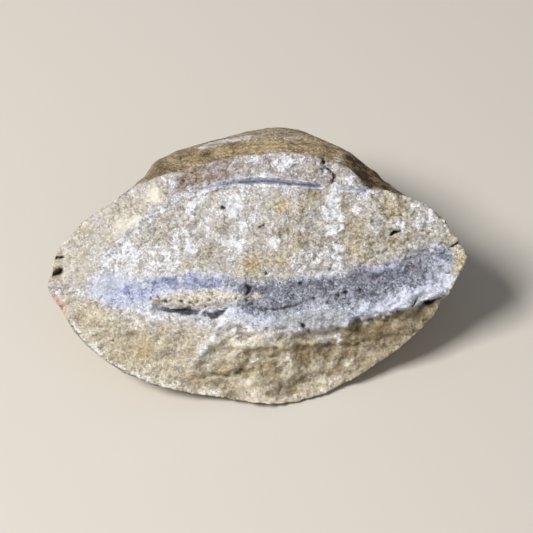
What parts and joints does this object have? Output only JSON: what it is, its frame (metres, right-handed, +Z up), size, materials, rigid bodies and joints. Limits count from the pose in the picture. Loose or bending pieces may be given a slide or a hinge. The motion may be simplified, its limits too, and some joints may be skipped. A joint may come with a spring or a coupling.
{
  "type": "fossil mollusk",
  "caption": "Fossil bivalve in pale stone, snapped across, lying on its lower valve with the rough, blue-banded broken face leaning back.",
  "frame": {"origin": "centre of the bounding box in X and Y, on the surface that the fossil lies on", "axes": "+X along the long axis of the broken face, to the right seen from in front of it; -Y is the side that the broken face looks to, tipped up 50 degrees; +Z up from the surface"},
  "size_m": [0.0808, 0.0558, 0.0363],
  "materials": {
    "fossil_stone": "rough, crystalline, with a blue-grey chalcedony band and a tan-brown shell surface"
  },
  "bodies": {
    "root": {"fossil_mollusk": "fossil_stone"}
  },
  "joints": []
}
